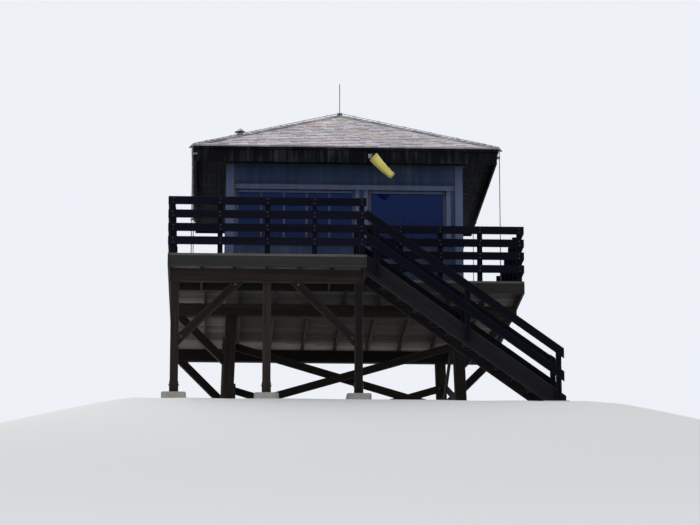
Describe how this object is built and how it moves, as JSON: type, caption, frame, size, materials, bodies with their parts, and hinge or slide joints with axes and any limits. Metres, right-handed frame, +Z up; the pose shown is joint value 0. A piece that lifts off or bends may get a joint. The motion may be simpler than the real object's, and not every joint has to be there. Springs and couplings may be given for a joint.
{
  "type": "fire lookout tower",
  "caption": "Low timber fire lookout: square hip-roofed cab with window bands, catwalk and rails all round, a wider landing and a straight stair, on braced legs.",
  "frame": {"origin": "bottom centre of the bounding box, on the ground plane", "axes": "+Z up, -Y towards the front with the landing and stair, +X to the right seen from the front"},
  "size_m": [6.9444, 8.199, 7.1576],
  "materials": {
    "footing_concrete": "cast concrete, weathered",
    "frame_timber": "creosoted dark brown, weathered grey at the edges",
    "rim_timber": "bare sawn board, weathered grey",
    "deck_timber": "bare planks, weathered grey",
    "floor_boards": "worn plank floor",
    "siding": "slate blue paint, weathered",
    "trim_paint": "lighter grey-blue paint, weathered",
    "window_glass": "clear, old",
    "door_paint": "grey-blue paint, weathered",
    "soffit_paint": "grey paint, weathered",
    "fascia_paint": "dark brown-black paint, weathered",
    "roof_shingle": "bare cedar shingles, weathered",
    "flue_metal": "matt black, sooty",
    "conductor_metal": "dull, weathered",
    "railing_timber": "dark brown stain, weathered",
    "stair_timber": "dark stain, worn to grey on the treads",
    "sock_vinyl": "yellow vinyl, faded"
  },
  "bodies": {
    "root": {"footings": "footing_concrete", "legs": "frame_timber", "leg_braces": "frame_timber", "girders": "frame_timber", "girder_braces": "frame_timber", "floor_joists": "frame_timber", "landing_posts": "frame_timber", "landing_beam": "frame_timber", "landing_braces": "frame_timber", "rim_boards": "rim_timber", "catwalk_deck": "deck_timber", "landing_deck": "deck_timber", "cab_floor": "floor_boards", "wall_front": "siding", "wall_right": "siding", "wall_rear": "siding", "wall_left": "siding", "window_sashes": "trim_paint", "window_glass": "window_glass", "window_casings": "trim_paint", "corner_boards": "trim_paint", "door_frame": "trim_paint", "door": "door_paint", "ceiling": "soffit_paint", "soffit": "soffit_paint", "fascia": "fascia_paint", "roof_front": "roof_shingle", "roof_right": "roof_shingle", "roof_rear": "roof_shingle", "roof_left": "roof_shingle", "hip_caps": "roof_shingle", "stovepipe": "flue_metal", "lightning_rod": "conductor_metal", "down_conductors": "conductor_metal", "railing_landing": "railing_timber", "railing_left": "railing_timber", "railing_rear": "railing_timber", "railing_right": "railing_timber", "railing_front": "railing_timber", "railing_stair_head": "railing_timber", "stair_stringers": "stair_timber", "stair_treads": "stair_timber", "stair_handrail_front": "railing_timber", "stair_handrail_rear": "railing_timber", "windsock": "sock_vinyl"}
  },
  "joints": []
}
